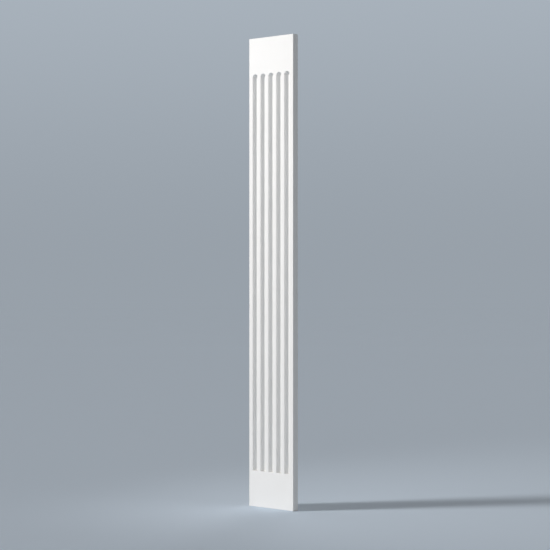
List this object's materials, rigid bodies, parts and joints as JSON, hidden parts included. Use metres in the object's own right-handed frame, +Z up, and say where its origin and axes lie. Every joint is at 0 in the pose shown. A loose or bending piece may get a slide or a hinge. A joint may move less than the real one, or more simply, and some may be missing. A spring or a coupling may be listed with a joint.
{
  "type": "pilaster shaft",
  "caption": "Straight fluted pilaster shaft: a flat moulded board with half-round flutes in its face, round at the head and square at the foot, and a plain back that is fixed to a wall.",
  "frame": {"origin": "centre of the flat back face, the face that is fixed to the wall", "axes": "+Z up along the shaft, +Y out of the back into the wall, so the fluted face looks along -Y; +X to the right as seen from the front"},
  "size_m": [0.25, 0.03, 2],
  "materials": {
    "white_primer": "smooth white factory primer on moulded polyurethane foam, matt to satin"
  },
  "bodies": {
    "root": {"pilaster_shaft": "white_primer"}
  },
  "joints": []
}
